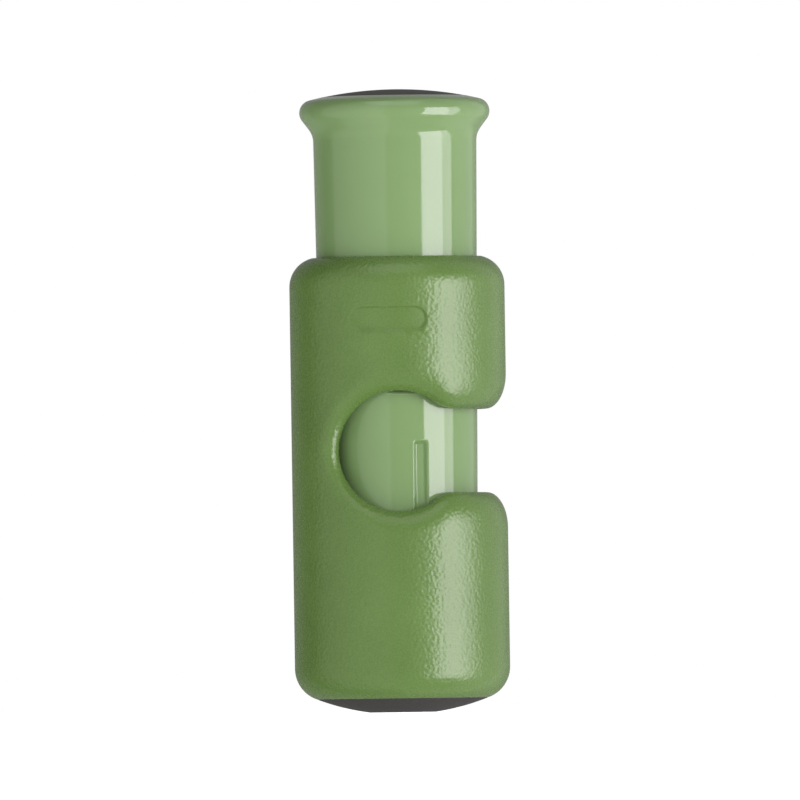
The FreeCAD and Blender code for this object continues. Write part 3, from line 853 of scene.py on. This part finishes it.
def build_floor():
    """A wide pale disc that glows a little and is left out of mirror-like reflections."""
    bpy.ops.mesh.primitive_circle_add(vertices=96, radius=9.0, fill_type="NGON", location=(0, 0, 0))
    floor = bpy.context.object
    floor.name = "floor"
    floor.visible_glossy = False
    material, tree, shader = new_material("Pale matt floor")
    set_sockets(shader, Base_Color=linear("#FAFAF9"), Roughness=0.9, Specular_IOR_Level=0.1,
                Emission_Color=linear("#FFFFFF"), Emission_Strength=FLOOR_GLOW)
    floor.data.materials.append(material)
    return floor


floor = build_floor()


# %% Lights
CENTRE = Vector((0, 0, 0.044))


def panel(name, azimuth, elevation, distance, width, height, radiance, gloss=True, shade=True,
          colour=(1.0, 1.0, 1.0)):
    """A rectangular light that faces the cinch. Azimuth is measured from the front towards +X. A light of
    power P and area A shines with a radiance of P / (pi A). `gloss` and `shade` say whether mirror-like
    and matt reflections see it."""
    turn, rise = math.radians(azimuth), math.radians(elevation)
    way = Vector((math.sin(turn) * math.cos(rise), -math.cos(turn) * math.cos(rise), math.sin(rise)))
    light = bpy.data.lights.new(name, "AREA")
    light.shape, light.size, light.size_y = "RECTANGLE", width, height
    light.energy, light.color = radiance * math.pi * width * height, colour
    lamp = bpy.data.objects.new(name, light)
    lamp.location = CENTRE + way * distance
    lamp.rotation_euler = (-way).to_track_quat("-Z", "Y").to_euler()
    lamp.visible_glossy, lamp.visible_diffuse = gloss, shade
    bpy.context.scene.collection.objects.link(lamp)
    return lamp


STRIP_TINT = (1.0, 0.9, 1.06)
strips = [panel("strip_front", 54.0, -8, 1.2, 0.73, 1.3, 6.6, shade=False, colour=STRIP_TINT),
          panel("strip_side", 79.0, -8, 1.2, 0.33, 1.3, 3.7, shade=False, colour=STRIP_TINT)]
panel("soft_key", 37, 10, 1.2, 0.8, 0.8, 5.4, gloss=False)
panel("overhead", 0, 68, 1.5, 1.2, 1.2, 1.1, shade=False)

unblocked = bpy.data.collections.new("Not in the strips' way")
unblocked.objects.link(floor)
unblocked.collection_objects[0].light_linking.link_state = "EXCLUDE"
for strip in strips:
    strip.light_linking.blocker_collection = unblocked

# %% World
ROOM = [(-180, 0.33), (-140, 0.25), (-127, 0.16), (-124, 0.03), (-101, 0.03), (-98, 0.5), (-60, 0.75),
        (-14, 0.95), (-12.5, 0.42), (88, 0.42), (94, 0.8), (138, 0.85), (148, 0.35), (180, 0.33)]


def build_world():
    """White to the camera. Everything else gets the radiance that ROOM lists by azimuth, in degrees from
    the front, dimmed overhead. The azimuth is atan2(x, -y), scaled to 0..1 for the ramp."""
    world = bpy.data.worlds.new("White room")
    bpy.context.scene.world = world
    world.use_nodes = True
    tree = world.node_tree
    tree.nodes.clear()
    way = add(tree, "ShaderNodeTexCoord").outputs["Generated"]
    split = add(tree, "ShaderNodeSeparateXYZ", links={"Vector": way})
    forward = add(tree, "ShaderNodeMath", {"operation": "MULTIPLY"}, {0: split.outputs["Y"]})
    forward.inputs[1].default_value = -1.0
    azimuth = add(tree, "ShaderNodeMath", {"operation": "ARCTAN2"},
                  {0: split.outputs["X"], 1: forward.outputs[0]})
    share = add(tree, "ShaderNodeMapRange", links={"Value": azimuth.outputs[0]},
                From_Min=-math.pi, From_Max=math.pi)
    level = add(tree, "ShaderNodeValToRGB", links={"Fac": share.outputs["Result"]})
    band = level.color_ramp
    while len(band.elements) < len(ROOM):
        band.elements.new(0.5)
    for element, (turn, radiance) in zip(band.elements, ROOM):
        element.position, element.color = (turn + 180) / 360, (radiance, radiance, radiance, 1.0)
    dimmed = add(tree, "ShaderNodeMapRange", links={"Value": split.outputs["Z"]},
                 From_Min=0.3, From_Max=1.0, To_Min=1.0, To_Max=0.55)
    room = add(tree, "ShaderNodeBackground", links={"Color": level.outputs["Color"],
                                                    "Strength": dimmed.outputs["Result"]})
    white = add(tree, "ShaderNodeBackground")
    set_sockets(white, Color=linear("#FFFFFF"), Strength=1.0)
    seen = add(tree, "ShaderNodeLightPath").outputs["Is Camera Ray"]
    mixed = add(tree, "ShaderNodeMixShader", links={0: seen, 1: room.outputs["Background"],
                                                    2: white.outputs["Background"]})
    add(tree, "ShaderNodeOutputWorld", links={"Surface": mixed.outputs["Shader"]})


build_world()


# %% Camera
CAMERA_DISTANCE = 3.9
AIM = Vector((0.0002, 0, 0.0441))
FRAME_WIDTH = 0.1130  # what the picture spans at the cinch
CAMERA_HEIGHT = 0.001
LEAN = 0.85  # degrees that the cinch leans to the left in the picture


def build_camera():
    """A lens of sensor width * distance / frame width, aimed at the cinch's middle and leaned."""
    data = bpy.data.cameras.new("camera")
    data.sensor_width = 36.0
    data.lens = data.sensor_width * CAMERA_DISTANCE / FRAME_WIDTH
    data.clip_end = 100.0
    camera = bpy.data.objects.new("camera", data)
    camera.location = (0, -CAMERA_DISTANCE, CAMERA_HEIGHT)
    look = (AIM - camera.location).to_track_quat("-Z", "Y").to_matrix().to_4x4()
    camera.matrix_world = Matrix.Translation(camera.location) @ look @ Matrix.Rotation(
        math.radians(-LEAN), 4, "Z")
    bpy.context.scene.collection.objects.link(camera)
    bpy.context.scene.camera = camera


build_camera()
bpy.context.scene.view_settings.view_transform = "Standard"
